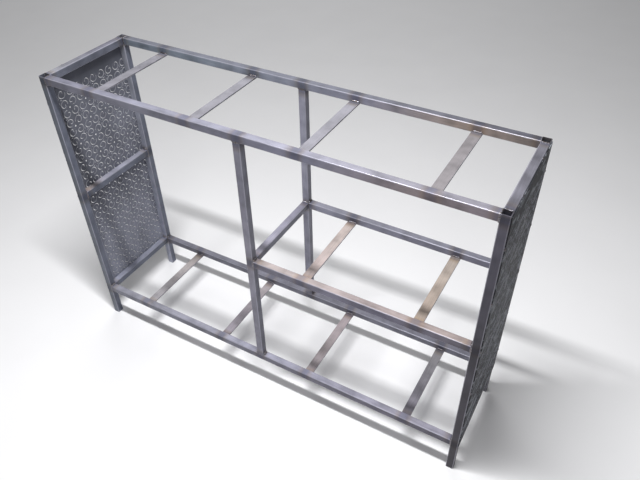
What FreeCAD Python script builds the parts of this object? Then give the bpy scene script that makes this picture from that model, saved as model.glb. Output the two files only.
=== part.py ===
"""Welded steel log rack: square-tube frame, flat-bar slats and perforated end panels.

Millimetres. X runs along the rack, Y from front to rear, Z up. The origin is on the
floor, under the middle of the rack.
"""
import FreeCAD, Part
import math
import os

import Sketcher
from FreeCAD import Vector

doc = FreeCAD.newDocument("LogRack")

# ---------------------------------------------------------------- driving sizes
SIZES = [
    ("frame_length", 1200, "outside of the left posts to outside of the right posts"),
    ("frame_depth", 300, "front of the front posts to back of the rear posts"),
    ("frame_height", 850, "floor to the top of the posts"),
    ("leg_height", 100, "floor to the underside of the bottom frame"),
    ("shelf_top", 485, "floor to the top of the shelf frame"),
    ("tube_size", 20, "outside width of the square tube"),
    ("tube_wall", 1.5, "wall of the square tube"),
    ("tube_radius", 2.5, "outside corner radius of the square tube"),
    ("slat_width", 25, "width of the flat bar"),
    ("slat_thickness", 4, "thickness of the flat bar"),
    ("slat_radius", 0.6, "rolled edge radius of the flat bar"),
    ("left_post_to_slat", 145, "left post's inner face to the middle of slat 1"),
    ("slat_to_divider", 134, "middle of slat 2 to the divider's left face"),
    ("divider_to_slat", 138, "divider's right face to the middle of slat 3"),
    ("slat_to_right_post", 134, "middle of slat 4 to the right post's inner face"),
    ("panel_thickness", 2, "thickness of the end panels' sheet"),
    ("panel_setback", 4, "outer edge of the end frame to the edge of its panel"),
    ("pattern_margin", 2, "least plain border round the pattern of a panel"),
    ("motif_pitch", 57, "side of one square motif of the pattern"),
    ("slot_width", 1.8, "width of the curled slots"),
    ("weld_leg", 4, "leg of the fillet welds on the tubes"),
    ("slat_weld_leg", 3, "leg of the fillet welds on the slats"),
    ("tack_length", 10, "length of a tack weld on a panel's edge"),
    ("tack_spacing", 150, "most distance between the tacks along an edge"),
]

sheet = doc.addObject("Spreadsheet::Sheet", "Sizes")
for row, (alias, size, meaning) in enumerate(SIZES, start=1):
    sheet.set(f"A{row}", alias)
    sheet.set(f"B{row}", str(size))
    sheet.set(f"C{row}", meaning)
    sheet.setAlias(f"B{row}", alias)
doc.recompute()


def size(alias):
    """The sheet's value for an alias, for shapes that are worked out in code."""
    return float(getattr(sheet, alias))


# Places that the pieces share, as expressions on the sheet.
TUBE = "Sizes.tube_size"
LEFT = "-Sizes.frame_length / 2"
RIGHT = f"Sizes.frame_length / 2 - {TUBE}"
MIDDLE = f"-{TUBE} / 2"
FRONT = "-Sizes.frame_depth / 2"
REAR = f"Sizes.frame_depth / 2 - {TUBE}"
BOTTOM = "Sizes.leg_height"
SHELF = f"Sizes.shelf_top - {TUBE}"
TOP = f"Sizes.frame_height - {TUBE}"

LONG_SPAN = f"Sizes.frame_length - 2 * {TUBE}"
SHELF_SPAN = f"Sizes.frame_length / 2 - 1.5 * {TUBE}"
CROSS_SPAN = f"Sizes.frame_depth - 2 * {TUBE}"
DIVIDER_SPAN = f"Sizes.frame_height - Sizes.leg_height - 2 * {TUBE}"

AXIS = {"X": Vector(1, 0, 0), "Y": Vector(0, 1, 0), "Z": Vector(0, 0, 1)}
SECTION_PLANE = {"X": "YZ_Plane", "Y": "XZ_Plane", "Z": "XY_Plane"}


# ---------------------------------------------------------------- bars
def rounded_outline(sketch, width, height, radius, corner):
    """Draw a rounded rectangle, and return the index of its first edge.

    The edges run bottom, arc, right, arc, top, arc, left, arc.
    """
    x0, y0 = corner
    x1, y1 = x0 + width, y0 + height
    lines = [
        (Vector(x0 + radius, y0), Vector(x1 - radius, y0)),
        (Vector(x1, y0 + radius), Vector(x1, y1 - radius)),
        (Vector(x1 - radius, y1), Vector(x0 + radius, y1)),
        (Vector(x0, y1 - radius), Vector(x0, y0 + radius)),
    ]
    centres = [
        Vector(x1 - radius, y0 + radius),
        Vector(x1 - radius, y1 - radius),
        Vector(x0 + radius, y1 - radius),
        Vector(x0 + radius, y0 + radius),
    ]
    edges = []
    for quarter, (line, centre) in enumerate(zip(lines, centres)):
        edges.append(Part.LineSegment(*line))
        circle = Part.Circle(centre, Vector(0, 0, 1), radius)
        start = (quarter - 1) * math.pi / 2
        edges.append(Part.ArcOfCircle(circle, start, start + math.pi / 2))
    first = sketch.addGeometry(edges, False)[0]

    rules = []
    for step in range(0, 8, 2):
        line, arc, after = first + step, first + step + 1, first + (step + 2) % 8
        rules.append(Sketcher.Constraint("Tangent", line, 2, arc, 1))
        rules.append(Sketcher.Constraint("Tangent", arc, 2, after, 1))
        rules.append(Sketcher.Constraint("Vertical" if step % 4 else "Horizontal", line))
    for arc in (3, 5, 7):
        rules.append(Sketcher.Constraint("Equal", first + 1, first + arc))
    sketch.addConstraint(rules)
    return first


def bind(sketch, constraint, name, expression):
    """Add a dimension to a sketch and tie it to the sheet."""
    index = sketch.addConstraint(constraint)
    sketch.renameConstraint(index, name)
    sketch.setExpression(f"Constraints.{name}", expression)


def add_bar(label, axis, place, span, section):
    """A straight bar along an axis, from its lowest corner, square cut at both ends."""
    width, height, radius, wall = section
    body = doc.addObject("PartDesign::Body", label)
    body.Label = label
    sketch = body.newObject("Sketcher::SketchObject", f"{label}_section")
    plane = next(f for f in body.Origin.OriginFeatures if f.Role == SECTION_PLANE[axis])
    sketch.AttachmentSupport = [(plane, "")]
    sketch.MapMode = "FlatFace"

    edge = rounded_outline(sketch, size(width), size(height), size(radius), (0, 0))
    sketch.addConstraint([
        Sketcher.Constraint("PointOnObject", edge, 1, -1),
        Sketcher.Constraint("PointOnObject", edge + 6, 1, -2),
    ])
    across = Sketcher.Constraint("DistanceX", edge + 6, 1, edge + 2, 1, size(width))
    upright = Sketcher.Constraint("DistanceY", edge, 1, edge + 4, 1, size(height))
    bind(sketch, across, "width", f"Sizes.{width}")
    bind(sketch, upright, "height", f"Sizes.{height}")
    bind(sketch, Sketcher.Constraint("Radius", edge + 1, size(radius)), "radius", f"Sizes.{radius}")

    if wall:
        thick = size(wall)
        bore = rounded_outline(
            sketch, size(width) - 2 * thick, size(height) - 2 * thick, size(radius) - thick, (thick, thick)
        )
        gaps = [
            ("wall_left", Sketcher.Constraint("DistanceX", edge + 6, 1, bore + 6, 1, thick)),
            ("wall_right", Sketcher.Constraint("DistanceX", bore + 2, 1, edge + 2, 1, thick)),
            ("wall_below", Sketcher.Constraint("DistanceY", edge, 1, bore, 1, thick)),
            ("wall_above", Sketcher.Constraint("DistanceY", bore + 4, 1, edge + 4, 1, thick)),
        ]
        for name, gap in gaps:
            bind(sketch, gap, name, f"Sizes.{wall}")
        inner = Sketcher.Constraint("Radius", bore + 1, size(radius) - thick)
        bind(sketch, inner, "bore_radius", f"Sizes.{radius} - Sizes.{wall}")

    pad = body.newObject("PartDesign::Pad", f"{label}_length")
    pad.Profile = sketch
    pad.setExpression("Length", span)
    # The XZ plane faces the front, so a bar along Y is drawn out behind it.
    pad.Reversed = axis == "Y"
    for letter, expression in zip("xyz", place):
        body.setExpression(f"Placement.Base.{letter}", expression)
    return body


TUBE_SECTION = ("tube_size", "tube_size", "tube_radius", "tube_wall")
SLAT_SECTION = ("slat_width", "slat_thickness", "slat_radius", None)


def after(place):
    """The far side of a tube that starts at a place."""
    return f"{place} + {TUBE}"


# Every tube: its name, its axis, its lowest corner and its length.
TUBES = [
    ("front_left_post", "Z", (LEFT, FRONT, "0"), "Sizes.frame_height"),
    ("front_right_post", "Z", (RIGHT, FRONT, "0"), "Sizes.frame_height"),
    ("rear_left_post", "Z", (LEFT, REAR, "0"), "Sizes.frame_height"),
    ("rear_right_post", "Z", (RIGHT, REAR, "0"), "Sizes.frame_height"),
    ("divider_front_post", "Z", (MIDDLE, FRONT, after(BOTTOM)), DIVIDER_SPAN),
    ("divider_rear_post", "Z", (MIDDLE, REAR, after(BOTTOM)), DIVIDER_SPAN),
    ("top_front_rail", "X", (after(LEFT), FRONT, TOP), LONG_SPAN),
    ("top_rear_rail", "X", (after(LEFT), REAR, TOP), LONG_SPAN),
    ("top_left_rail", "Y", (LEFT, after(FRONT), TOP), CROSS_SPAN),
    ("top_right_rail", "Y", (RIGHT, after(FRONT), TOP), CROSS_SPAN),
    ("bottom_front_rail", "X", (after(LEFT), FRONT, BOTTOM), LONG_SPAN),
    ("bottom_rear_rail", "X", (after(LEFT), REAR, BOTTOM), LONG_SPAN),
    ("bottom_left_rail", "Y", (LEFT, after(FRONT), BOTTOM), CROSS_SPAN),
    ("bottom_right_rail", "Y", (RIGHT, after(FRONT), BOTTOM), CROSS_SPAN),
    ("shelf_front_rail", "X", (after(MIDDLE), FRONT, SHELF), SHELF_SPAN),
    ("shelf_rear_rail", "X", (after(MIDDLE), REAR, SHELF), SHELF_SPAN),
    ("shelf_left_rail", "Y", (MIDDLE, after(FRONT), SHELF), CROSS_SPAN),
    ("shelf_right_rail", "Y", (RIGHT, after(FRONT), SHELF), CROSS_SPAN),
    ("left_mid_rail", "Y", (LEFT, after(FRONT), SHELF), CROSS_SPAN),
]

# The middle of each slat along the rack. The shelf carries the two in the right bay.
SLAT_MIDDLES = [
    f"{after(LEFT)} + Sizes.left_post_to_slat",
    f"{MIDDLE} - Sizes.slat_to_divider",
    f"{after(MIDDLE)} + Sizes.divider_to_slat",
    f"{RIGHT} - Sizes.slat_to_right_post",
]
SLAT_LEVELS = [
    ("top", TOP, SLAT_MIDDLES),
    ("bottom", BOTTOM, SLAT_MIDDLES),
    ("shelf", SHELF, SLAT_MIDDLES[2:]),
]

bars = {}
bar_axis = {}
for label, axis, place, span in TUBES:
    bars[label] = add_bar(label, axis, place, span, TUBE_SECTION)
    bar_axis[label] = axis

# A slat lies level with the underside of its frame, so that boards sink into the frame.
for level, height, middles in SLAT_LEVELS:
    for number, middle in enumerate(middles, start=1):
        label = f"{level}_slat_{number}"
        place = (f"{middle} - Sizes.slat_width / 2", after(FRONT), height)
        bars[label] = add_bar(label, "Y", place, CROSS_SPAN, SLAT_SECTION)
        bar_axis[label] = "Y"
doc.recompute()


# ---------------------------------------------------------------- end panels
# The parts of a motif, as shares of its pitch.
LEAF_START, LEAF_END = 0.05, 0.2
CURL_PLACE = 0.25
CURL_RADIUS = 0.185
DOT_RADIUS = 0.045
# How far a curl starts from its motif's diagonal, and how far its two arcs turn, in degrees.
CURL_START = 35
WIDE_TURN = 250
TIGHT_TURN = 150


def polar(centre, radius, angle):
    return centre + Vector(radius * math.cos(angle), radius * math.sin(angle), 0)


def arc_edge(centre, radius, start, end):
    """A circular edge between two angles, in the direction from start to end."""
    points = [polar(centre, radius, start + (end - start) * share) for share in (0, 0.5, 1)]
    return Part.Arc(*points).toShape()


def curl_slot(centre, turn, mirror, radius, width):
    """A scroll-shaped slot: a wide arc from the direction turn, then one of half the radius.

    Both edges of the slot are concentric with its middle line, and its ends are round.
    """
    half = width / 2
    small = radius / 2
    start = turn
    bend = turn + mirror * math.radians(WIDE_TURN)
    finish = bend + mirror * math.radians(TIGHT_TURN)
    eye = polar(centre, radius - small, bend)
    return Part.Wire([
        arc_edge(centre, radius + half, start, bend),
        arc_edge(eye, small + half, bend, finish),
        arc_edge(polar(eye, small, finish), half, finish, finish + mirror * math.pi),
        arc_edge(eye, small - half, finish, bend),
        arc_edge(centre, radius - half, bend, start),
        arc_edge(polar(centre, radius, start), half, start - mirror * math.pi, start),
    ])


def leaf_hole(centre, direction, inner, outer, half_width):
    """A pointed leaf along a direction: two arcs that meet at its tips."""
    middle = polar(centre, (inner + outer) / 2, direction)
    tips = [polar(centre, inner, direction), polar(centre, outer, direction)]
    sides = [polar(middle, side * half_width, direction + math.pi / 2) for side in (1, -1)]
    return Part.Wire([
        Part.Arc(tips[0], sides[0], tips[1]).toShape(),
        Part.Arc(tips[1], sides[1], tips[0]).toShape(),
    ])


def round_hole(centre, radius):
    return Part.Wire([Part.Circle(centre, Vector(0, 0, 1), radius).toShape()])


def motif_holes(centre, pitch, slot, hand):
    """One square motif: four curls round a four-leaf flower. The hand turns the curls over."""
    holes = []
    for quarter in range(4):
        direction = quarter * math.pi / 2
        holes.append(leaf_hole(centre, direction, LEAF_START * pitch, LEAF_END * pitch, slot / 2))
    for right in (1, -1):
        for up in (1, -1):
            middle = centre + Vector(right, up, 0) * (CURL_PLACE * pitch)
            mirror = hand * right * up
            turn = math.atan2(up, right) + mirror * math.radians(CURL_START)
            holes.append(curl_slot(middle, turn, mirror, CURL_RADIUS * pitch, slot))
    return holes


def perforated_sheet(width, height, thickness, pitch, slot, margin):
    """A sheet centred on the origin, with whole motifs and a dot where four of them meet.

    The rows start at the lower edge, and what is left over is a plain band at the top.
    Motifs side by side are of opposite hands.
    """
    columns = int((width - 2 * margin) // pitch)
    rows = int((height - 2 * margin) // pitch)
    first_row = margin + pitch / 2 - height / 2
    holes = []
    for column in range(columns):
        for row in range(rows):
            centre = Vector((column - (columns - 1) / 2) * pitch, first_row + row * pitch, 0)
            hand = -1 if (column + row) % 2 else 1
            holes += motif_holes(centre, pitch, slot, hand)
            if column and row:
                corner = centre - Vector(pitch / 2, pitch / 2, 0)
                holes.append(round_hole(corner, DOT_RADIUS * pitch))
    plate = Part.makePlane(width, height, Vector(-width / 2, -height / 2, 0))
    face = Part.Face([plate.OuterWire] + holes)
    face.validate()
    return face.extrude(Vector(0, 0, thickness))


setback = size("panel_setback")
panel_width = size("frame_depth") - 2 * setback
panel_height = size("frame_height") - size("leg_height") - 2 * setback
panel_shape = perforated_sheet(
    panel_width,
    panel_height,
    size("panel_thickness"),
    size("motif_pitch"),
    size("slot_width"),
    size("pattern_margin"),
)
panel_middle = (size("frame_height") + size("leg_height")) / 2

# The sheet is drawn flat and stood up, with its thickness outwards from the end frame.
upright = FreeCAD.Rotation(Vector(0, 1, 0), Vector(0, 0, 1), Vector(1, 0, 0), "ZXY")
outwards = {"left": -1, "right": 1}
panels = {}
for side, out in outwards.items():
    panel = doc.addObject("Part::Feature", f"{side}_panel")
    panel.Label = f"{side}_panel"
    panel.Shape = panel_shape
    inner_face = out * size("frame_length") / 2
    if out < 0:
        inner_face -= size("panel_thickness")
    panel.Placement = FreeCAD.Placement(Vector(inner_face, 0, panel_middle), upright)
    panels[side] = panel


# ---------------------------------------------------------------- welds
# How far the top of a weld's crown stands from each face, as a share of its leg.
WELD_CROWN = 0.58


def fillet_bead(corner, along, up, run, length, leg):
    """A fillet weld: two equal legs from the corner and a crowned face between them."""
    start = corner - run * (length / 2)
    foot = start + along * leg
    head = start + up * leg
    crown = start + (along + up) * (WELD_CROWN * leg)
    outline = Part.Wire([
        Part.LineSegment(start, foot).toShape(),
        Part.Arc(foot, crown, head).toShape(),
        Part.LineSegment(head, start).toShape(),
    ])
    return Part.Face(outline).extrude(run * length)


def end_beads(label, sides, leg, edge_radius):
    """The beads at both ends of a bar, on the given sides of it.

    A side is a unit vector out of the bar. Each bead stops where the bar's corner rounds.
    """
    box = bars[label].Shape.BoundBox
    low = Vector(box.XMin, box.YMin, box.ZMin)
    high = Vector(box.XMax, box.YMax, box.ZMax)
    middle = (low + high) / 2
    reach = (high - low) / 2
    axis = AXIS[bar_axis[label]]
    beads = []
    for end in (1, -1):
        for side in sides:
            run = axis.cross(side)
            length = 2 * abs(reach.dot(run)) - 2 * edge_radius
            corner = middle + axis * (end * reach.dot(axis)) + side * abs(reach.dot(side))
            beads.append(fillet_bead(corner, axis * -end, side, run, length, leg))
    return beads


def tack_beads(out):
    """Short beads round a panel, in the corner of its edge and the end frame's face."""
    leg = size("panel_thickness")
    length = size("tack_length")
    face = out * size("frame_length") / 2
    beads = []
    sides = [
        (AXIS["Y"], AXIS["Z"], panel_width, panel_height),
        (AXIS["Z"], AXIS["Y"], panel_height, panel_width),
    ]
    for across, run, breadth, edge_length in sides:
        count = max(2, math.ceil(edge_length / size("tack_spacing")))
        for sign in (1, -1):
            for number in range(count):
                distance = ((number + 0.5) / count - 0.5) * edge_length
                corner = Vector(face, 0, panel_middle) + across * (sign * breadth / 2) + run * distance
                beads.append(fillet_bead(corner, across * sign, AXIS["X"] * out, run, length, leg))
    return beads


def add_welds(label, beads):
    """A group of separate beads that share one node."""
    welds = doc.addObject("Part::Feature", label)
    welds.Label = label
    welds.Shape = Part.Compound(beads)
    return welds


UP, DOWN = AXIS["Z"], AXIS["Z"] * -1
EAST, WEST = AXIS["X"], AXIS["X"] * -1
ABOVE_AND_BELOW = [UP, DOWN]
WELD_GROUPS = [
    ("top_frame_welds", ["top_front_rail", "top_rear_rail", "top_left_rail", "top_right_rail"], [DOWN]),
    (
        "bottom_frame_welds",
        ["bottom_front_rail", "bottom_rear_rail", "bottom_left_rail", "bottom_right_rail"],
        ABOVE_AND_BELOW,
    ),
    (
        "shelf_frame_welds",
        ["shelf_front_rail", "shelf_rear_rail", "shelf_left_rail", "shelf_right_rail"],
        ABOVE_AND_BELOW,
    ),
    ("left_mid_rail_welds", ["left_mid_rail"], ABOVE_AND_BELOW),
    ("divider_welds", ["divider_front_post", "divider_rear_post"], [EAST, WEST]),
]
welds = []
for label, members, sides in WELD_GROUPS:
    beads = []
    for member in members:
        beads += end_beads(member, sides, size("weld_leg"), size("tube_radius"))
    welds.append(add_welds(label, beads))

for level, height, middles in SLAT_LEVELS:
    beads = []
    for number in range(1, len(middles) + 1):
        beads += end_beads(f"{level}_slat_{number}", [UP], size("slat_weld_leg"), size("slat_radius"))
    welds.append(add_welds(f"{level}_slat_welds", beads))

for side, out in outwards.items():
    welds.append(add_welds(f"{side}_panel_tacks", tack_beads(out)))
doc.recompute()


# ---------------------------------------------------------------- check and write
faults = [o.Name for o in doc.Objects if "Invalid" in o.State or "Error" in o.State]
if faults:
    raise RuntimeError(f"failed objects: {faults}")

pieces = list(bars.values()) + list(panels.values()) + welds
for piece in pieces:
    if piece.Shape.isNull() or not piece.Shape.isValid():
        raise RuntimeError(f"{piece.Label} has no valid shape")

os.makedirs("parts", exist_ok=True)
for piece in pieces:
    piece.Shape.exportStep(f"parts/{piece.Label}.step")
print(f"{len(pieces)} nodes written")
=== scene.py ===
"""Looks for a welded steel log rack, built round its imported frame.

Metres, +Z up, with the origin on the floor under the middle of the rack. The tubes, the
flat bars and the end panels are the frame's own nodes and get their steel here. The weld
beads are new surfaces, which stand for the plain ones of the frame.
"""
import math

import bpy
import numpy as np
from bpy.props import FloatProperty, FloatVectorProperty, IntProperty, PointerProperty
from mathutils import Matrix, Vector


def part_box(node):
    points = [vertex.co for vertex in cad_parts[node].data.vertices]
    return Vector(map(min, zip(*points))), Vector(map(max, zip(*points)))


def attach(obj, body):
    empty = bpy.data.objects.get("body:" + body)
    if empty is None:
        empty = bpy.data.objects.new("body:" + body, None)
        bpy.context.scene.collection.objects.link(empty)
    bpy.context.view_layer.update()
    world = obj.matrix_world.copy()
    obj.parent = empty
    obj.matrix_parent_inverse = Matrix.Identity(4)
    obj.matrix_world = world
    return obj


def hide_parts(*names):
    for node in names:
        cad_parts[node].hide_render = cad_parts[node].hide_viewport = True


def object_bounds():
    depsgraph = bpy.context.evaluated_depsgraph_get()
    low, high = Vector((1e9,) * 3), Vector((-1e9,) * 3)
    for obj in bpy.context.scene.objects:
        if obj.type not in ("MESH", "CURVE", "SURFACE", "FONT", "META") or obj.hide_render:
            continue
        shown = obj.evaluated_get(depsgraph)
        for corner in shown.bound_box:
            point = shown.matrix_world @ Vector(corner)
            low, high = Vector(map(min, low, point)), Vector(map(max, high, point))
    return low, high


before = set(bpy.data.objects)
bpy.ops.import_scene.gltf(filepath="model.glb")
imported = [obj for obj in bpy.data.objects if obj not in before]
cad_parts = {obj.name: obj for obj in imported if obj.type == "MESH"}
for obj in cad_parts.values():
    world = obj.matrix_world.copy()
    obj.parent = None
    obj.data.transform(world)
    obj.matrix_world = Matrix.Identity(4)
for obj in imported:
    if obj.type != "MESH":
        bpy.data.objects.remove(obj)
CAD_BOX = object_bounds()

bl_info = {
    "name": "Log Rack",
    "version": (1, 0, 0),
    "blender": (4, 5, 0),
    "location": "View3D > Sidebar > Log Rack",
    "description": "Steel, weld beads and studio for a welded log rack",
    "category": "Object",
}

MM = 0.001


def linear(code):
    """An sRGB hex colour as linear red, green, blue."""
    parts = [int(code[i:i + 2], 16) / 255 for i in (1, 3, 5)]
    return tuple(c / 12.92 if c <= 0.04045 else ((c + 0.055) / 1.055) ** 2.4 for c in parts)


# ---------------------------------------------------------------- the bars of the frame
WELD_NODES = {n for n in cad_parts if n.endswith(("_welds", "_tacks"))}
PANELS = sorted(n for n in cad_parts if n.endswith("_panel"))
BARS = sorted(set(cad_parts) - WELD_NODES - set(PANELS))
SLATS = [n for n in BARS if "_slat_" in n]
TUBES = [n for n in BARS if n not in SLATS]
BOX = {n: tuple(np.array(corner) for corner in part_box(n)) for n in BARS + PANELS}
TOUCH = 0.5 * MM
X, Y, Z = 0, 1, 2
# How far out the end frames reach, where the panels lie on them.
PANEL_PLANE = min(abs(corner[X]) for panel in PANELS for corner in BOX[panel])
# The pattern cut in the end panels: its square motif, the plain border below it, and the
# curls' radius as a share of the motif.
PITCH = 57 * MM
MARGIN = 2 * MM
CURL_RADIUS = 0.185


def axis_of(bar):
    """The axis that a bar runs along: its longest side."""
    low, high = BOX[bar]
    return int(np.argmax(high - low))


def touching(bar):
    """The other bars that a bar is welded to."""
    low, high = BOX[bar]
    near = []
    for other in BARS:
        other_low, other_high = BOX[other]
        gap = np.maximum(other_low - high, low - other_high)
        if other != bar and gap.max() < TOUCH and np.sort(gap)[1] < -TOUCH:
            near.append(other)
    return near


def joints_along(bar):
    """Where a bar is welded, as shares of its length from its low end."""
    axis = axis_of(bar)
    low, high = BOX[bar]
    places = []
    for other in touching(bar):
        other_low, other_high = BOX[other]
        middle = (max(low[axis], other_low[axis]) + min(high[axis], other_high[axis])) / 2
        places.append((middle - low[axis]) / (high[axis] - low[axis]))
    return sorted(places)


# ---------------------------------------------------------------- what a user would change
class RackSteel(bpy.types.PropertyGroup):
    """Colours of the steels."""

    tube: FloatVectorProperty(
        name="Tube", description="Skin of the rolled square tube", subtype="COLOR",
        default=linear("#767682"), min=0, max=1,
    )
    flat_bar: FloatVectorProperty(
        name="Flat bar", description="Skin of the rolled flat bar", subtype="COLOR",
        default=linear("#7C7B83"), min=0, max=1,
    )
    sheet: FloatVectorProperty(
        name="Sheet", description="Oxide skin of the cut sheet", subtype="COLOR",
        default=linear("#5E606A"), min=0, max=1,
    )
    bead: FloatVectorProperty(
        name="Weld bead", description="Brushed weld metal", subtype="COLOR",
        default=linear("#7C7C86"), min=0, max=1,
    )


class RackWelds(bpy.types.PropertyGroup):
    """Sizes of the weld beads."""

    leg: FloatProperty(
        name="Leg", description="Leg of a fillet between tubes", unit="LENGTH",
        default=4 * MM, min=MM,
    )
    slat_leg: FloatProperty(
        name="Slat leg", description="Leg of a fillet on a flat bar", unit="LENGTH",
        default=3 * MM, min=MM,
    )
    seam_width: FloatProperty(
        name="Seam width", description="Width of a bead across level faces", unit="LENGTH",
        default=4.5 * MM, min=MM,
    )
    seam_height: FloatProperty(
        name="Seam height", description="How far a dressed seam stands proud", unit="LENGTH",
        default=0.5 * MM, min=0,
    )
    ripple_pitch: FloatProperty(
        name="Ripple pitch", description="From one ripple of a bead to the next", unit="LENGTH",
        default=1.8 * MM, min=0.5 * MM,
    )
    tack_length: FloatProperty(
        name="Tack length", description="Length of a tack on a panel's edge", unit="LENGTH",
        default=10 * MM, min=MM,
    )
    seed: IntProperty(name="Seed", description="Start of the uneven shapes", default=7, min=0)


class RackStudio(bpy.types.PropertyGroup):
    """The floor, the light and the camera."""

    floor: FloatVectorProperty(
        name="Floor", description="Colour of the floor", subtype="COLOR",
        default=linear("#F0F0F2"), min=0, max=1,
    )
    key_power: FloatProperty(
        name="Key", description="Power of the strip light over the rack", unit="POWER",
        default=60, min=0,
    )
    sheen_power: FloatProperty(
        name="Sheen", description="Power of the light behind the rack, which the tops mirror",
        unit="POWER", default=115, min=0,
    )
    front_power: FloatProperty(
        name="Front", description="Power of the soft light in front of the rack", unit="POWER",
        default=18, min=0,
    )
    fill: FloatProperty(
        name="Fill", description="Strength of the light from all round", default=0.08, min=0,
    )
    lens: FloatProperty(
        name="Lens", description="Focal length of the camera", unit="CAMERA",
        default=35.147, min=1,
    )


# ---------------------------------------------------------------- materials
# Two ways to join colours in a mix node: lay one over the other, or shade one by the other.
LAY = {"data_type": "RGBA", "blend_type": "MIX"}
SHADE = {"data_type": "RGBA", "blend_type": "MULTIPLY"}
MIXED = 2
# Metal that shows through the oxide: edges rubbed by hands, painted brighter also as the
# highlight they catch; flakes lost from the sheets; the burr beside a cut, painted paler also as
# the glint it catches; and the walls of a cut where they kept some oxide and where they are bare.
RUBBED_EDGE_AND_HIGHLIGHT = "#A8A8B4"
LOST_FLAKE = "#8E929A"
BURR_AND_GLINT = "#8E9099"
DULL_CUT, BARE_CUT = "#9C9DA5", "#B4B5BC"
# What welding heat does to the steel, from cold to hot.
TEMPER = [(0.0, "#FFFFFF"), (0.35, "#EADCC4"), (0.6, "#A89A98"), (0.8, "#8A93AC"), (1.0, "#85858C")]
HEAT_REACH = 24 * MM


def add_node(tree, kind, inputs=None, stops=(), **settings):
    """Add a node with its settings. Each input is a value, or an output to link it to.

    stops are the (place, colour) pairs of a colour ramp.
    """
    node = tree.nodes.new(kind)
    for name, value in settings.items():
        setattr(node, name, value)
    for key, value in (inputs or {}).items():
        if isinstance(value, bpy.types.NodeSocket):
            tree.links.new(value, node.inputs[key])
        else:
            node.inputs[key].default_value = value
    if stops:
        elements = node.color_ramp.elements
        while len(elements) > 1:
            elements.remove(elements[0])
        elements[0].position, elements[0].color = stops[0]
        for place, colour in stops[1:]:
            elements.new(place).color = colour
    return node


def new_material(name):
    """An empty material, its tree and its surface shader."""
    material = bpy.data.materials.new(name)
    material.use_nodes = True
    tree = material.node_tree
    tree.nodes.clear()
    shader = add_node(tree, "ShaderNodeBsdfPrincipled")
    add_node(tree, "ShaderNodeOutputMaterial", {"Surface": shader.outputs[0]})
    return material, tree, shader


def opaque(colour):
    """A linear colour with full alpha."""
    return (*colour[:3], 1.0)


def grey(value):
    """A linear grey with full alpha. Above 1 it lightens what it shades."""
    return (value, value, value, 1.0)


def hex_stops(stops):
    """Stops of a colour ramp from (place, hex colour) pairs."""
    return [(place, opaque(linear(code))) for place, code in stops]


def heat_stops(places, reach):
    """Stops for a share that is 1 at each welded place and fades over reach."""
    stops = []
    for place in places:
        if not stops or place - reach > stops[-1][0]:
            stops.append((max(place - reach, 0.0), grey(0.0)))
        stops.append((min(max(place, 0.0), 1.0), grey(1.0)))
        stops.append((min(place + reach, 1.0), grey(0.0)))
    return stops


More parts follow.
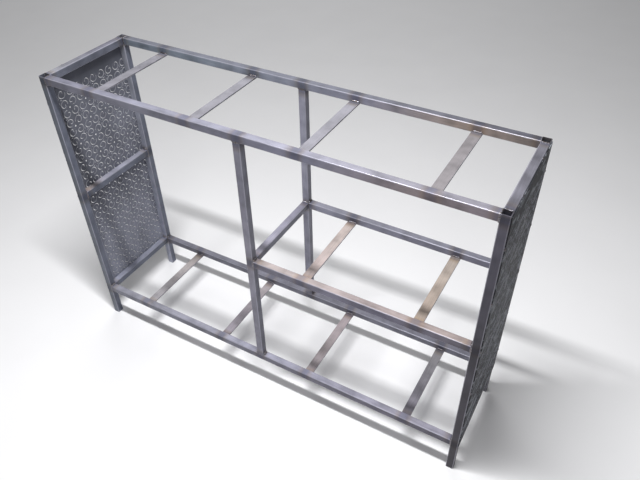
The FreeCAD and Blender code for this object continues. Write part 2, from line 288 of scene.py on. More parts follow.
def bare_steel(name, bar, colour, sides):
    """Mild steel bar, hot rolled and left bare, for one bar of the rack.

    The rolling leaves a thin grey oxide with streaks along the bar, uneven in tone over
    a hand's width. Welding turns it straw, then brown, then dull blue beside each joint.
    sides gives the colours along those sides that differ, by the axis that they face: mostly
    painted light and shade, with a few tones of the steel's own.
    """
    axis = axis_of(bar)
    low, high = BOX[bar]
    length = high[axis] - low[axis]
    material, tree, shader = new_material(name)
    place = add_node(tree, "ShaderNodeTexCoord").outputs["Object"]

    # Streaks are 1.5 mm wide and 25 times as long, drawn coarse enough to show.
    streak_scale = [1 / (1.5 * MM)] * 3
    streak_scale[axis] /= 25
    streak_place = add_node(
        tree, "ShaderNodeMapping", {"Vector": place, "Scale": streak_scale}
    ).outputs[0]
    streaks = add_node(
        tree, "ShaderNodeTexNoise", {"Vector": streak_place, "Scale": 1.0, "Detail": 3.0}
    ).outputs[0]
    # Clouds in the oxide are about 45 mm across, and mill grit about 0.8 mm.
    clouds = add_node(
        tree, "ShaderNodeTexNoise", {"Vector": place, "Scale": 1 / (45 * MM), "Detail": 4.0}
    ).outputs[0]
    grit = add_node(
        tree, "ShaderNodeTexNoise", {"Vector": place, "Scale": 1 / (0.8 * MM), "Detail": 2.0}
    ).outputs[0]

    split = add_node(tree, "ShaderNodeSeparateXYZ", {0: place})
    along = add_node(
        tree, "ShaderNodeMapRange",
        {"Value": split.outputs[axis], "From Min": float(low[axis]), "From Max": float(high[axis])},
    ).outputs[0]
    # The edge of a heat mark wanders by about 8 mm to each side.
    wander = 16 * MM / length
    ragged = add_node(
        tree, "ShaderNodeMath", {0: clouds, 1: wander, 2: along}, operation="MULTIPLY_ADD"
    ).outputs[0]
    ragged = add_node(
        tree, "ShaderNodeMath", {0: ragged, 1: wander / 2}, operation="SUBTRACT"
    ).outputs[0]

    normal = add_node(tree, "ShaderNodeNewGeometry").outputs["True Normal"]
    looks = add_node(tree, "ShaderNodeSeparateXYZ", {0: normal})
    facing = [
        add_node(tree, "ShaderNodeMath", {0: output}, operation="ABSOLUTE").outputs[0]
        for output in looks.outputs
    ]
    body = opaque(colour)
    # The listed sides are painted lighter or darker, as light and shade, over the usual tone.
    for side, stops in sides.items():
        skin = add_node(tree, "ShaderNodeValToRGB", {0: ragged}, hex_stops(stops)).outputs[0]
        body = add_node(
            tree, "ShaderNodeMix", {0: facing[side], 6: body, 7: skin}, **LAY
        ).outputs[MIXED]
    tone = add_node(
        tree, "ShaderNodeValToRGB", {0: clouds},
        [(0.3, grey(0.72)), (0.5, grey(1.0)), (0.7, grey(1.22))],
    ).outputs[0]
    body = add_node(tree, "ShaderNodeMix", {0: 1.0, 6: body, 7: tone}, **SHADE).outputs[MIXED]

    # The rounded edges face between two axes. They are painted brighter there, partly as wear
    # from handling and partly as the highlight that the edges catch.
    squareness = 0.0
    for share in facing:
        squareness = add_node(
            tree, "ShaderNodeMath", {0: squareness, 1: share}, operation="MAXIMUM"
        ).outputs[0]
    edge_wear_and_highlight = add_node(
        tree, "ShaderNodeMapRange",
        {"Value": squareness, "From Min": 0.99, "From Max": 0.9, "To Min": 0.0, "To Max": 0.6},
    ).outputs[0]
    body = add_node(
        tree, "ShaderNodeMix", {0: edge_wear_and_highlight, 6: body, 7: opaque(linear(RUBBED_EDGE_AND_HIGHLIGHT))}, **LAY
    ).outputs[MIXED]
    streak_tone = add_node(
        tree, "ShaderNodeValToRGB", {0: streaks}, [(0.3, grey(0.84)), (0.7, grey(1.1))]
    ).outputs[0]
    body = add_node(
        tree, "ShaderNodeMix", {0: 1.0, 6: body, 7: streak_tone}, **SHADE
    ).outputs[MIXED]

    heat = add_node(
        tree, "ShaderNodeValToRGB", {0: ragged}, heat_stops(joints_along(bar), HEAT_REACH / length)
    ).outputs[0]
    temper = add_node(tree, "ShaderNodeValToRGB", {0: heat}, hex_stops(TEMPER)).outputs[0]
    heated = add_node(
        tree, "ShaderNodeMix", {0: 1.0, 6: body, 7: temper}, **SHADE
    ).outputs[MIXED]
    body = add_node(tree, "ShaderNodeMix", {0: 0.5, 6: body, 7: heated}, **LAY).outputs[MIXED]
    tree.links.new(body, shader.inputs["Base Color"])

    # Rougher where welding heat has scaled the steel, smoother on the rubbed edges.
    shader.inputs["Metallic"].default_value = 0.3
    shader.inputs["Specular IOR Level"].default_value = 0.25
    rough = add_node(
        tree, "ShaderNodeMapRange",
        {"Value": streaks, "From Min": 0.3, "From Max": 0.7, "To Min": 0.34, "To Max": 0.52},
    ).outputs[0]
    for share, change in ((heat, 0.12), (edge_wear_and_highlight, -0.2)):
        rough = add_node(
            tree, "ShaderNodeMath", {0: share, 1: change, 2: rough}, operation="MULTIPLY_ADD"
        ).outputs[0]
    tree.links.new(rough, shader.inputs["Roughness"])

    relief = add_node(
        tree, "ShaderNodeMath", {0: grit, 1: 0.4, 2: streaks}, operation="MULTIPLY_ADD"
    ).outputs[0]
    bump = add_node(
        tree, "ShaderNodeBump", {"Height": relief, "Strength": 0.35, "Distance": 0.05 * MM}
    )
    tree.links.new(bump.outputs[0], shader.inputs["Normal"])
    return material


def oxide_sheet(name, panel, colour, out):
    """Thin mild steel sheet, cut through and left bare, with its outer side towards out in X.

    The cutting leaves a dark oxide skin with soft clouds. The outer side and the rim are painted
    darker as shade, and the cut walls of the holes are brighter where the bare metal shows.
    """
    low, high = BOX[panel]
    material, tree, shader = new_material(name)
    place = add_node(tree, "ShaderNodeTexCoord").outputs["Object"]
    # Clouds about 70 mm across, stretched down the sheet as the oil ran, and 1 mm grit.
    cloud_place = add_node(
        tree, "ShaderNodeMapping",
        {"Vector": place, "Scale": (1.0, 1 / (70 * MM), 1 / (150 * MM))},
    ).outputs[0]
    clouds = add_node(
        tree, "ShaderNodeTexNoise", {"Vector": cloud_place, "Scale": 1.0, "Detail": 5.0}
    ).outputs[0]
    grit = add_node(
        tree, "ShaderNodeTexNoise", {"Vector": place, "Scale": 1 / (1.0 * MM), "Detail": 2.0}
    ).outputs[0]
    split = add_node(tree, "ShaderNodeSeparateXYZ", {0: place})
    height = add_node(
        tree, "ShaderNodeMapRange",
        {"Value": split.outputs[Z], "From Min": float(low[Z]), "From Max": float(high[Z])},
    ).outputs[0]
    body = opaque(colour)
    # The sheet is lighter towards its bottom and a little darker near its top, and the clouds and
    # the grit vary it further.
    for share, stops in (
        (height, [(0.05, grey(2.1)), (0.35, grey(1.4)), (0.75, grey(1.15)), (0.92, grey(0.85))]),
        (clouds, [(0.32, grey(0.75)), (0.68, grey(1.25))]),
        (grit, [(0.3, grey(0.85)), (0.7, grey(1.12))]),
    ):
        tone = add_node(tree, "ShaderNodeValToRGB", {0: share}, stops).outputs[0]
        body = add_node(
            tree, "ShaderNodeMix", {0: 1.0, 6: body, 7: tone}, **SHADE
        ).outputs[MIXED]

    normal = add_node(tree, "ShaderNodeNewGeometry").outputs["True Normal"]
    facing = add_node(tree, "ShaderNodeSeparateXYZ", {0: normal}).outputs[X]
    outwards = add_node(
        tree, "ShaderNodeMath", {0: facing, 1: out}, operation="MULTIPLY"
    ).outputs[0]
    # The outer side and the rim count as outer, and the side towards the logs doesn't.
    outer = add_node(
        tree, "ShaderNodeMath", {0: outwards, 1: -0.5}, operation="GREATER_THAN"
    ).outputs[0]
    # The outer side and the rim are painted darker as shade.
    outer_shade = add_node(
        tree, "ShaderNodeValToRGB", {0: clouds}, [(0.32, grey(0.1)), (0.68, grey(0.34))]
    ).outputs[0]
    shaded_outer_skin = add_node(
        tree, "ShaderNodeMix", {0: 1.0, 6: opaque(colour), 7: outer_shade}, **SHADE
    ).outputs[MIXED]
    # Pale flakes about 55 by 24 mm, where the oxide of the outer side has come off.
    flake_place = add_node(
        tree, "ShaderNodeMapping",
        {"Vector": place, "Scale": (1.0, 1 / (55 * MM), 1 / (24 * MM))},
    ).outputs[0]
    flakes = add_node(
        tree, "ShaderNodeTexNoise",
        {"Vector": flake_place, "Scale": 1.0, "Detail": 3.0, "Roughness": 0.65, "Distortion": 0.8},
    ).outputs[0]
    flakes = add_node(
        tree, "ShaderNodeValToRGB", {0: flakes}, [(0.5, grey(0.0)), (0.6, grey(0.9))]
    ).outputs[0]
    shaded_outer_skin = add_node(
        tree, "ShaderNodeMix", {0: flakes, 6: shaded_outer_skin, 7: opaque(linear(LOST_FLAKE))}, **LAY
    ).outputs[MIXED]
    body = add_node(
        tree, "ShaderNodeMix", {0: outer, 6: body, 7: shaded_outer_skin}, **LAY
    ).outputs[MIXED]

    # The cutter leaves a pale burr about 1.6 mm wide beside each curl, painted paler still as the
    # glint that its raised edge catches. The curls' wide arcs are circles whose middles stand half
    # a pitch apart, so it is drawn from that grid: the distance from the nearest middle, less the
    # circle's radius.
    spacing = PITCH / 2
    start = (0.0, 0.0, -(float(low[Z]) + MARGIN) / spacing)
    cell = add_node(
        tree, "ShaderNodeMapping", {"Vector": place, "Location": start, "Scale": [1 / spacing] * 3}
    ).outputs[0]
    cell = add_node(tree, "ShaderNodeVectorMath", {0: cell}, operation="FRACTION").outputs[0]
    for operation, amount in (("SUBTRACT", (0.5, 0.5, 0.5)), ("MULTIPLY", (0.0, spacing, spacing))):
        cell = add_node(
            tree, "ShaderNodeVectorMath", {0: cell, 1: amount}, operation=operation
        ).outputs[0]
    radius = add_node(
        tree, "ShaderNodeVectorMath", {0: cell}, operation="LENGTH"
    ).outputs["Value"]
    away = add_node(
        tree, "ShaderNodeMath", {0: radius, 1: CURL_RADIUS * PITCH}, operation="SUBTRACT"
    ).outputs[0]
    away = add_node(tree, "ShaderNodeMath", {0: away}, operation="ABSOLUTE").outputs[0]
    burr_and_glint = add_node(
        tree, "ShaderNodeMapRange",
        {"Value": away, "From Min": 2.9 * MM, "From Max": 2.2 * MM, "To Min": 0.0, "To Max": 1.0},
    ).outputs[0]
    # It is patchy, weak on the inner side, and only where whole motifs of the pattern are.
    patches = add_node(
        tree, "ShaderNodeValToRGB", {0: clouds}, [(0.4, grey(0.25)), (0.6, grey(1.0))]
    ).outputs[0]
    strength = add_node(
        tree, "ShaderNodeMapRange", {"Value": outer, "To Min": 0.12, "To Max": 0.3}
    ).outputs[0]
    rows = math.floor((high[Z] - low[Z] - 2 * MARGIN) / PITCH)
    columns = math.floor((high[Y] - low[Y] - 2 * MARGIN) / PITCH)
    field = {
        Y: (0.0, columns * PITCH / 2),
        Z: (float(low[Z]) + MARGIN + rows * PITCH / 2, rows * PITCH / 2),
    }
    in_field = 1.0
    for axis, (middle, half) in field.items():
        within = add_node(
            tree, "ShaderNodeMath", {0: split.outputs[axis], 1: middle, 2: half},
            operation="COMPARE",
        ).outputs[0]
        in_field = add_node(
            tree, "ShaderNodeMath", {0: in_field, 1: within}, operation="MULTIPLY"
        ).outputs[0]
    for share in (patches, strength, in_field):
        burr_and_glint = add_node(
            tree, "ShaderNodeMath", {0: burr_and_glint, 1: share}, operation="MULTIPLY"
        ).outputs[0]
    body = add_node(
        tree, "ShaderNodeMix", {0: burr_and_glint, 6: body, 7: opaque(linear(BURR_AND_GLINT))}, **LAY
    ).outputs[MIXED]

    # A face in the field that doesn't look along X is the wall of a hole. Its oxide stays
    # between the flakes.
    flat = add_node(tree, "ShaderNodeMath", {0: facing}, operation="ABSOLUTE").outputs[0]
    cut = add_node(tree, "ShaderNodeMath", {0: flat, 1: 0.5}, operation="LESS_THAN").outputs[0]
    cut = add_node(tree, "ShaderNodeMath", {0: cut, 1: in_field}, operation="MULTIPLY").outputs[0]
    wall = add_node(
        tree, "ShaderNodeMix",
        {0: flakes, 6: opaque(linear(DULL_CUT)), 7: opaque(linear(BARE_CUT))}, **LAY,
    ).outputs[MIXED]
    body = add_node(tree, "ShaderNodeMix", {0: cut, 6: body, 7: wall}, **LAY).outputs[MIXED]
    tree.links.new(body, shader.inputs["Base Color"])

    # The oxide is a dull crust, so nothing of it reads as metal.
    shader.inputs["Metallic"].default_value = 0.0
    shader.inputs["Specular IOR Level"].default_value = 0.2
    rough = add_node(
        tree, "ShaderNodeMapRange",
        {"Value": clouds, "From Min": 0.3, "From Max": 0.7, "To Min": 0.55, "To Max": 0.7},
    ).outputs[0]
    tree.links.new(rough, shader.inputs["Roughness"])
    bump = add_node(
        tree, "ShaderNodeBump", {"Height": grit, "Strength": 0.25, "Distance": 0.04 * MM}
    )
    tree.links.new(bump.outputs[0], shader.inputs["Normal"])
    return material


def weld_metal(colour):
    """Deposited weld metal, wire brushed.

    The brush leaves bright patches, with brown and blue-grey oxide between them.
    """
    material, tree, shader = new_material("brushed_weld_metal")
    place = add_node(tree, "ShaderNodeTexCoord").outputs["Object"]
    # Stains about 3 mm across, brush marks 0.4 mm.
    stains = add_node(
        tree, "ShaderNodeTexNoise", {"Vector": place, "Scale": 1 / (3 * MM), "Detail": 3.0}
    ).outputs[0]
    brush = add_node(
        tree, "ShaderNodeTexNoise", {"Vector": place, "Scale": 1 / (0.4 * MM), "Detail": 2.0}
    ).outputs[0]
    oxide = hex_stops([(0.3, "#565256"), (0.45, "#746B68")])
    bright = hex_stops([(0.8, "#9E9EA6")])
    body = add_node(
        tree, "ShaderNodeValToRGB", {0: stains}, [*oxide, (0.58, opaque(colour)), *bright]
    ).outputs[0]
    tree.links.new(body, shader.inputs["Base Color"])
    shader.inputs["Metallic"].default_value = 1.0
    rough = add_node(
        tree, "ShaderNodeMapRange",
        {"Value": stains, "From Min": 0.3, "From Max": 0.7, "To Min": 0.5, "To Max": 0.28},
    ).outputs[0]
    tree.links.new(rough, shader.inputs["Roughness"])
    bump = add_node(
        tree, "ShaderNodeBump", {"Height": brush, "Strength": 0.4, "Distance": 0.05 * MM}
    )
    tree.links.new(bump.outputs[0], shader.inputs["Normal"])
    return material


def painted_floor(colour):
    """Matte painted floor: pale and even, with a faint broad unevenness from the roller."""
    material, tree, shader = new_material("matte_floor_paint")
    place = add_node(tree, "ShaderNodeTexCoord").outputs["Object"]
    # Roller marks about 250 mm across.
    marks = add_node(
        tree, "ShaderNodeTexNoise", {"Vector": place, "Scale": 1 / (250 * MM), "Detail": 2.0}
    ).outputs[0]
    thin_coat = tuple(c * 0.98 for c in colour)
    body = add_node(
        tree, "ShaderNodeValToRGB", {0: marks}, [(0.3, opaque(thin_coat)), (0.7, opaque(colour))]
    ).outputs[0]
    tree.links.new(body, shader.inputs["Base Color"])
    shader.inputs["Roughness"].default_value = 0.85
    return material


def dress(node, material):
    """Give a node of the frame its material."""
    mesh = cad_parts[node].data
    mesh.materials.clear()
    mesh.materials.append(material)


# ---------------------------------------------------------------- weld beads
BEAD_STEP = 0.3 * MM
LEAST_ROWS = 9
# How deep the ripples are, as a share of the bead's own size.
FILLET_RIPPLE, SEAM_RIPPLE, TACK_RIPPLE = 0.16, 0.3, 0.2
# From one tack on a panel's edge to the next, at most.
TACK_SPACING = 150 * MM


def bead(start, end, across, rise, outline, depth, pitch, rng):
    """Vertices, quads and triangles of one weld bead, a closed surface.

    With s along the bead from start to end and t round its outline (a(t), b(t)), a point is
    line(s) + size(s) * (1 + crest(t) * ripple(s, t)) * (a(t) * across + b(t) * rise).
    size is a quarter circle over the last stretch at each end, so that the ends are round:
    1.3 times the outline's reach, or 0.45 of a short bead. It swells by 8% along the bead.
    ripple falls from depth to nothing over each pitch and lags at the sides, as a puddle
    that sets leaves it. line wanders from side to side by two slow sines.
    """
    run = end - start
    length = np.linalg.norm(run)
    a, b, crest = outline
    reach = np.hypot(a, b).max()
    rows = max(LEAST_ROWS, int(length / BEAD_STEP))
    s = np.linspace(0, length, rows)[1:-1, None]
    t = np.linspace(-1, 1, len(a))[None, :]

    cap = min(0.45 * length, 1.3 * reach)
    inset = np.clip(np.minimum(s, length - s) / cap, 0, 1)
    size = np.sqrt(1 - (1 - inset) ** 2)
    phase = s / pitch + 0.45 * t ** 2 + 0.15 * np.sin(s / pitch * 1.7 + rng.uniform(0, 6))
    ripple = depth * (1 - np.mod(phase, 1.0)) ** 0.5 - depth / 2
    swell = 1 + 0.08 * np.sin(s / length * 5 + rng.uniform(0, 6))
    radius = size * swell * (1 + crest[None, :] * ripple)
    wave = np.sin(s / length * 4 + rng.uniform(0, 6)) + np.sin(s / length * 9 + rng.uniform(0, 6))
    drift = 0.06 * reach * wave * size

    line = start + s[..., None] * (run / length)
    points = line + radius[..., None] * (a[None, :, None] * across + b[None, :, None] * rise)
    points = points + drift[..., None] * across
    count, around = points.shape[:2]
    vertices = np.concatenate([points.reshape(-1, 3), [start, end]])

    ring = np.arange(around)
    after = (ring + 1) % around
    row = np.arange(count - 1)[:, None] * around
    quads = np.stack(
        [row + ring, row + after, row + around + after, row + around + ring], axis=-1
    )
    last = (count - 1) * around
    first_pole, last_pole = count * around, count * around + 1
    caps = np.concatenate([
        np.stack([after, ring, np.full(around, first_pole)], axis=-1),
        np.stack([last + ring, last + after, np.full(around, last_pole)], axis=-1),
    ])
    quads = quads.reshape(-1, 4)
    if np.dot(np.cross(run, across), rise) * turning(a, b) < 0:
        quads, caps = quads[:, ::-1], caps[:, ::-1]
    return vertices, quads, caps


def turning(a, b):
    """Twice the signed area inside an outline: above nothing if it turns from a to b."""
    return np.sum(a * np.roll(b, -1) - np.roll(a, -1) * b)


def fillet_outline(leg):
    """Outline of a fillet: from the corner, a foot on one face, a crown, a foot on the other.

    The crown is a quarter turn between the feet, a leg times cosine and sine to the power
    0.82, a little fuller than a circle. Corner and feet lie 0.25 mm inside the steel, so
    that no gap shows.
    """
    sink = 0.25 * MM
    turn = np.linspace(0, math.pi / 2, 11)
    fullness = 0.82
    a = np.concatenate([[-sink], leg * np.cos(turn) ** fullness - sink * np.sin(turn)])
    b = np.concatenate([[-sink], leg * np.sin(turn) ** fullness - sink * np.cos(turn)])
    crest = np.concatenate([[0.0], np.sin(2 * turn)])
    return a, b, crest


def seam_outline(width, height):
    """Outline of a seam across level faces: a low crown, and a root that fills the groove.

    Both halves are half ellipses, with the seam's width across and the crown's height up
    or the root's 1.6 mm down.
    """
    root = 1.6 * MM
    turn = np.linspace(0, 2 * math.pi, 20, endpoint=False)
    a = width / 2 * np.cos(turn)
    b = np.where(np.sin(turn) > 0, height, root) * np.sin(turn)
    crest = np.clip(np.sin(turn), 0, 1)
    return a, b, crest


def unit(axis, sign=1.0):
    """A unit vector along an axis, 0 to 2."""
    vector = np.zeros(3)
    vector[axis] = sign
    return vector


def bar_ends():
    """Each bar end that is butted against another bar: bar, neighbour, axis, direction."""
    ends = []
    for bar in BARS:
        axis = axis_of(bar)
        low, high = BOX[bar]
        for other in touching(bar):
            other_low, other_high = BOX[other]
            if abs(other_low[axis] - high[axis]) < TOUCH:
                ends.append((bar, other, axis, 1.0))
            elif abs(other_high[axis] - low[axis]) < TOUCH:
                ends.append((bar, other, axis, -1.0))
    return ends


def side_of(bar, other, side, sign):
    """How far the neighbour's face stands out beyond the bar's face on one side."""
    corner = 1 if sign > 0 else 0
    return sign * (BOX[other][corner][side] - BOX[bar][corner][side])


def end_sides(bar, other, axis):
    """The four sides of a bar's end, each with how far the neighbour stands out there."""
    for side in (X, Y, Z):
        if side == axis:
            continue
        for sign in (1.0, -1.0):
            yield side, sign, side_of(bar, other, side, sign)


def weld_line(bar, axis, direction, side, sign, margin):
    """Start and end of the weld along one side of a bar's end."""
    low, high = BOX[bar]
    across = 3 - axis - side
    middle = (low + high) / 2
    middle[axis] = high[axis] if direction > 0 else low[axis]
    middle[side] = high[side] if sign > 0 else low[side]
    half = unit(across) * ((high - low)[across] / 2 - margin)
    return middle - half, middle + half


FILLET_SIDES = {
    "top_frame_welds": ("top_", "_rail", [-1.0]),
    "bottom_frame_welds": ("bottom_", "_rail", [1.0, -1.0]),
    "shelf_frame_welds": ("shelf_", "_rail", [1.0, -1.0]),
    "left_mid_rail_welds": ("left_mid_", "_rail", [1.0, -1.0]),
    "divider_welds": ("divider_", "_post", [1.0, -1.0]),
    "top_slat_welds": ("top_slat_", "", [1.0]),
    "bottom_slat_welds": ("bottom_slat_", "", [1.0]),
    "shelf_slat_welds": ("shelf_slat_", "", [1.0]),
}


def group_of(bar):
    """The node of the frame that holds a bar's welds."""
    for group, (first, last, _) in FILLET_SIDES.items():
        if bar.startswith(first) and bar.endswith(last):
            return group
    return None


def make_piece(name, parts, material):
    """One mesh from many closed surfaces, which rides on the rack."""
    offset = 0
    vertices, quads, caps = [], [], []
    for part_vertices, part_quads, part_caps in parts:
        vertices.append(part_vertices)
        quads.append(part_quads + offset)
        caps.append(part_caps + offset)
        offset += len(part_vertices)
    mesh = bpy.data.meshes.new(name)
    faces = np.concatenate(quads).tolist() + np.concatenate(caps).tolist()
    mesh.from_pydata(np.concatenate(vertices), [], faces)
    mesh.shade_smooth()
    mesh.materials.append(material)
    piece = bpy.data.objects.new(name, mesh)
    bpy.context.scene.collection.objects.link(piece)
    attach(piece, "root")
    return piece


def random_for(name, seed):
    """A random source of its own for each piece."""
    return np.random.default_rng([seed, *name.encode()])


# ---------------------------------------------------------------- operators
# Skins that differ from the usual one: colours along the bar, from its low end, on the sides
# that face an axis. They are mostly painted light and shade, a side lighter or darker by how
# the light falls on it, with a few brown tones of the steel's own.
# Sides facing along X at the left end, painted darker and bluer as shade.
SHADED = [(0.5, "#666A78")]
TUBE_SIDE_LIGHT_AND_TONE = {
    "top_front_rail": {
        Z: [(0.2, "#7A7A88"), (0.55, "#848492"), (0.9, "#807E88")],
        Y: [(0.3, "#80808D"), (0.65, "#7F7F90"), (0.85, "#8B8184"), (1.0, "#837B83")],
    },
    "top_rear_rail": {
        Z: [(0.4, "#5E606C"), (0.9, "#595963")],
        Y: [(0.2, "#7B838F"), (0.65, "#80808F"), (0.85, "#90837C"), (1.0, "#867D7A")],
    },
    "top_left_rail": {
        Z: [(0.1, "#87878F"), (0.6, "#737380"), (0.9, "#6E6D7A")],
        X: [(0.5, "#686B78")],
    },
    "bottom_front_rail": {
        Z: [(0.1, "#A0A0AC"), (0.5, "#9090A0"), (0.9, "#918F9D")],
        Y: [(0.15, "#797A86"), (0.5, "#6C6B78"), (0.9, "#625F6C")],
    },
    "bottom_left_rail": {Z: [(0.5, "#9698A8")], X: SHADED},
    "left_mid_rail": {Z: [(0.1, "#A79E9F"), (0.35, "#A5A5B4")], X: SHADED},
    "front_left_post": {Y: [(0.5, "#686D78")], X: SHADED},
    "rear_left_post": {Y: [(0.3, "#A2A5B5"), (0.9, "#93959F")], X: SHADED},
    "front_right_post": {Y: [(0.2, "#3F3C43"), (0.6, "#45434B"), (0.9, "#56545F")]},
    "divider_front_post": {Y: [(0.2, "#7E7D89"), (0.5, "#8A8894"), (0.8, "#7E7D8A")]},
    "divider_rear_post": {Y: [(0.5, "#8E8E9C")]},
    "shelf_front_rail": {
        Z: [(0.1, "#A59B9A"), (0.5, "#9E9393"), (0.9, "#998D8B")],
        Y: [(0.2, "#747280"), (0.6, "#716F80"), (0.9, "#68646F")],
    },
    "shelf_left_rail": {Z: [(0.3, "#8A8896"), (0.7, "#7C7A89")]},
    "shelf_rear_rail": {Y: [(0.2, "#868695"), (0.6, "#797886")]},
}
# Colours along the tops of some flat bars, from the low end: mostly painted light and shade, where
# a bar lies lit or shaded, with some warm brown tone of the steel's own.
SLAT_LIGHT_AND_TONE = {
    "top_slat_4": [(0.5, "#7E7A7D")],
    "bottom_slat_1": [(0.15, "#B2AEB3"), (0.5, "#A5A0A2"), (0.9, "#928B8A")],
    "bottom_slat_2": [(0.2, "#908A93"), (0.5, "#878188"), (0.85, "#958E92")],
    "bottom_slat_3": [(0.1, "#938B8F"), (0.45, "#9D9497"), (0.9, "#958B8F")],
    "bottom_slat_4": [(0.2, "#83808A"), (0.8, "#807E83")],
    "shelf_slat_1": [(0.3, "#ADA09E"), (0.8, "#ADA19D")],
    "shelf_slat_2": [(0.2, "#A5978D"), (0.8, "#A2978F")],
}
# The tubes of the right end, painted darker as shade.
SHADED_RIGHT_TUBES = {
    "front_right_post": "#58565F",
    "rear_right_post": "#5E5D63",
    "top_right_rail": "#6A6972",
    "bottom_right_rail": "#5C5A64",
    "shelf_right_rail": "#605F67",
}


class LOGRACK_OT_tubes(bpy.types.Operator):
    """Give each tube its own rolled steel, tinted by the heat of its welds, with light and shade
    painted on its sides
    """

    bl_idname = "log_rack.tubes"
    bl_label = "Tube steel"

    def execute(self, context):
        steel = context.scene.rack_steel
        for bar in TUBES:
            colour = linear(SHADED_RIGHT_TUBES[bar]) if bar in SHADED_RIGHT_TUBES else steel.tube
            dress(bar, bare_steel(f"bare_tube_{bar}", bar, colour, TUBE_SIDE_LIGHT_AND_TONE.get(bar, {})))
        return {"FINISHED"}


class LOGRACK_OT_slats(bpy.types.Operator):
    """Give each flat bar its own rolled steel, with light and shade painted along some of them"""

    bl_idname = "log_rack.slats"
    bl_label = "Flat-bar steel"

    def execute(self, context):
        steel = context.scene.rack_steel
        for bar in SLATS:
            sides = {Z: SLAT_LIGHT_AND_TONE[bar]} if bar in SLAT_LIGHT_AND_TONE else {}
            dress(bar, bare_steel(f"bare_flat_{bar}", bar, steel.flat_bar, sides))
        return {"FINISHED"}


class LOGRACK_OT_panels(bpy.types.Operator):
    """Give the cut end panels their oxide skin, with painted shade on the outer side"""

    bl_idname = "log_rack.panels"
    bl_label = "Panel steel"

    def execute(self, context):
        steel = context.scene.rack_steel
        for panel in PANELS:
            out = 1.0 if BOX[panel][0][X] > 0 else -1.0
            dress(panel, oxide_sheet(f"oxide_sheet_{panel}", panel, steel.sheet, out))
        return {"FINISHED"}


class LOGRACK_OT_fillets(bpy.types.Operator):
    """Lay rippled fillets in the corners between the bars"""

    bl_idname = "log_rack.fillets"
    bl_label = "Fillet welds"

    def execute(self, context):
        welds = context.scene.rack_welds
        material = bpy.data.materials["brushed_weld_metal"]
        parts = {group: [] for group in FILLET_SIDES}
        for bar, other, axis, direction in bar_ends():
            group = group_of(bar)
            if group is None:
                continue
            rng = random_for(f"{bar}{other}", welds.seed)
            leg = welds.slat_leg if bar in SLATS else welds.leg
            for side, sign, out in end_sides(bar, other, axis):
                upright = side == (Z if axis != Z else X)
                if not upright or sign not in FILLET_SIDES[group][2] or out < leg:
                    continue
                start, end = weld_line(bar, axis, direction, side, sign, MM)
                outline = fillet_outline(leg * rng.uniform(0.92, 1.1))
                across, rise = unit(axis, -direction), unit(side, sign)
                parts[group].append(bead(
                    start, end, across, rise, outline, FILLET_RIPPLE, welds.ripple_pitch, rng
                ))
        for group, beads in parts.items():
            piece = make_piece(group.replace("_welds", "_beads"), beads, material)
            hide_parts(group)
        return {"FINISHED"}


class LOGRACK_OT_seams(bpy.types.Operator):
    """Lay low dressed beads where level faces of two bars meet"""

    bl_idname = "log_rack.seams"
    bl_label = "Seam welds"

    def execute(self, context):
        welds = context.scene.rack_welds
        material = bpy.data.materials["brushed_weld_metal"]
        parts = []
        for bar, other, axis, direction in bar_ends():
            if bar in SLATS:
                continue
            rng = random_for(f"seam{bar}{other}", welds.seed)
            for side, sign, out in end_sides(bar, other, axis):
                face = BOX[bar][1 if sign > 0 else 0][side]
                covered = side == X and abs(face) > PANEL_PLANE - TOUCH
                if abs(out) > TOUCH or covered:
                    continue
                start, end = weld_line(bar, axis, direction, side, sign, 0.5 * MM)
                width = welds.seam_width * rng.uniform(0.8, 1.15)
                outline = seam_outline(width, welds.seam_height * rng.uniform(0.6, 1.3))
                across, rise = unit(axis, -direction), unit(side, sign)
                parts.append(bead(
                    start, end, across, rise, outline, SEAM_RIPPLE, welds.ripple_pitch, rng
                ))
        make_piece("seam_beads", parts, material)
        return {"FINISHED"}


class LOGRACK_OT_tacks(bpy.types.Operator):
    """Lay short tacks round the end panels"""

    bl_idname = "log_rack.tacks"
    bl_label = "Panel tacks"

    def execute(self, context):
        welds = context.scene.rack_welds
        material = bpy.data.materials["brushed_weld_metal"]
        for panel in PANELS:
            low, high = BOX[panel]
            out = 1.0 if low[X] > 0 else -1.0
            face = low[X] if out > 0 else high[X]
            rng = random_for(panel, welds.seed)
            parts = []
            for across, along in ((Y, Z), (Z, Y)):
                edge = high[along] - low[along]
                count = max(2, math.ceil(edge / TACK_SPACING))
                for sign in (1.0, -1.0):
                    for number in range(count):
                        middle = (low + high) / 2
                        middle[X] = face
                        middle[across] = high[across] if sign > 0 else low[across]
                        middle[along] += ((number + 0.5) / count - 0.5) * edge
                        half = unit(along) * (welds.tack_length * rng.uniform(0.4, 0.58))
                        outline = fillet_outline((high[X] - low[X]) * rng.uniform(1.15, 1.5))
                        parts.append(bead(
                            middle - half, middle + half, unit(across, sign), unit(X, out),
                            outline, TACK_RIPPLE, welds.ripple_pitch, rng,
                        ))
            piece = make_piece(panel.replace("_panel", "_tack_beads"), parts, material)
            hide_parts(panel + "_tacks")
        return {"FINISHED"}


class LOGRACK_OT_weld_metal(bpy.types.Operator):
    """Make the weld metal that the beads share"""

    bl_idname = "log_rack.weld_metal"
    bl_label = "Weld metal"

    def execute(self, context):
        weld_metal(tuple(context.scene.rack_steel.bead))
        return {"FINISHED"}


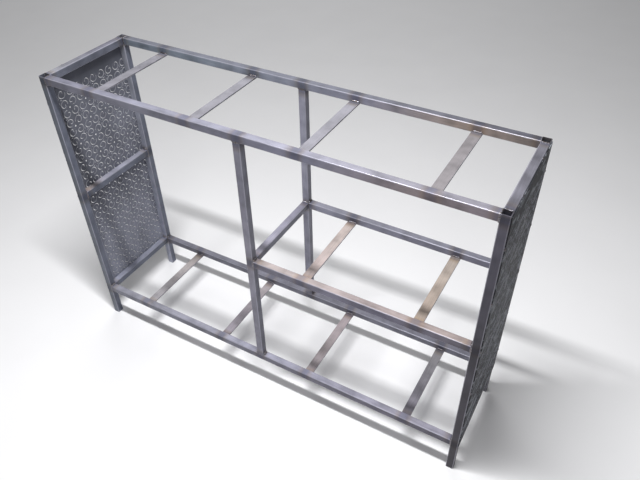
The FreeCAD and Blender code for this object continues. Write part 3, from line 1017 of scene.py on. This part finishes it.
class LOGRACK_OT_stage(bpy.types.Operator):
    """Lay the floor, hang the lights and place the camera"""

    bl_idname = "log_rack.stage"
    bl_label = "Stage"

    def execute(self, context):
        scene = context.scene
        studio = scene.rack_studio
        half = 30.0  # metres, so that its edge stays out of sight
        mesh = bpy.data.meshes.new("floor")
        corners = np.array([(-half, -half, 0), (half, -half, 0), (half, half, 0), (-half, half, 0)])
        mesh.from_pydata(corners, [], [(0, 1, 2, 3)])
        mesh.materials.append(painted_floor(tuple(studio.floor)))
        floor = bpy.data.objects.new("floor", mesh)
        scene.collection.objects.link(floor)

        world = bpy.data.worlds.new("soft_room")
        world.use_nodes = True
        background = world.node_tree.nodes["Background"]
        background.inputs["Color"].default_value = grey(1.0)
        background.inputs["Strength"].default_value = studio.fill
        scene.world = world

        # The key is a strip over the front of the rack, along it and facing straight down, so
        # that the long rails cast narrow shadows on the slats. The soft sheen light behind on
        # the left is what the top faces mirror, and the front one fills the shaded sides.
        # Those two are aimed at the rack's middle. Each has its place, its size and its power.
        low, high = CAD_BOX
        middle = (low + high) / 2
        lamps = [
            ("key", Vector((0.1, -0.375, 2.45)), (1.0, 0.12), studio.key_power),
            ("sheen", Vector((-2.6, 4.2, 4.4)), (4.0, 4.0), studio.sheen_power),
            ("front", Vector((1.2, -2.4, 2.6)), (1.2, 1.2), studio.front_power),
        ]
        for name, place, (width, depth), power in lamps:
            light = bpy.data.lights.new(name, "AREA")
            light.shape = "RECTANGLE"
            light.size, light.size_y = width, depth
            light.energy = power
            lamp = bpy.data.objects.new(name, light)
            lamp.location = place
            if name != "key":
                lamp.rotation_euler = (middle - place).to_track_quat("-Z", "Y").to_euler()
            scene.collection.objects.link(lamp)

        camera = bpy.data.cameras.new("camera")
        camera.lens = studio.lens
        camera.sensor_width = 36.0
        camera.clip_end = 100.0
        eye = bpy.data.objects.new("camera", camera)
        eye.matrix_world = camera_place()
        scene.collection.objects.link(eye)
        scene.camera = eye
        scene.view_settings.view_transform = "Standard"
        return {"FINISHED"}


def camera_place():
    """The camera as someone standing at the rack's front right holds it."""
    place = Vector((0.7394, -1.0696, 1.5403))
    turn, down, roll = math.radians(30.06), math.radians(40.34), math.radians(-1.04)
    upright = Matrix.Rotation(turn, 4, "Z") @ Matrix.Rotation(math.pi / 2 - down, 4, "X")
    return Matrix.Translation(place) @ upright @ Matrix.Rotation(roll, 4, "Z")


OPERATORS = (
    LOGRACK_OT_stage,
    LOGRACK_OT_tubes,
    LOGRACK_OT_slats,
    LOGRACK_OT_panels,
    LOGRACK_OT_weld_metal,
    LOGRACK_OT_fillets,
    LOGRACK_OT_seams,
    LOGRACK_OT_tacks,
)
GROUPS = {"rack_steel": RackSteel, "rack_welds": RackWelds, "rack_studio": RackStudio}


class LOGRACK_PT_pieces(bpy.types.Panel):
    """The rack's pieces and what can be set on them"""

    bl_idname = "LOGRACK_PT_pieces"
    bl_label = "Log Rack"
    bl_space_type = "VIEW_3D"
    bl_region_type = "UI"
    bl_category = "Log Rack"

    def draw(self, context):
        for name, group in GROUPS.items():
            box = self.layout.box()
            for setting in group.__annotations__:
                box.prop(getattr(context.scene, name), setting)
        for operator in OPERATORS:
            self.layout.operator(operator.bl_idname)


def register():
    for group in (*GROUPS.values(), *OPERATORS, LOGRACK_PT_pieces):
        bpy.utils.register_class(group)
    for name, group in GROUPS.items():
        setattr(bpy.types.Scene, name, PointerProperty(type=group))


def unregister():
    for name in GROUPS:
        delattr(bpy.types.Scene, name)
    for group in reversed((*GROUPS.values(), *OPERATORS, LOGRACK_PT_pieces)):
        bpy.utils.unregister_class(group)


def main():
    register()
    for operator in OPERATORS:
        group, name = operator.bl_idname.split(".")
        getattr(getattr(bpy.ops, group), name)()


if __name__ == "__main__":
    main()
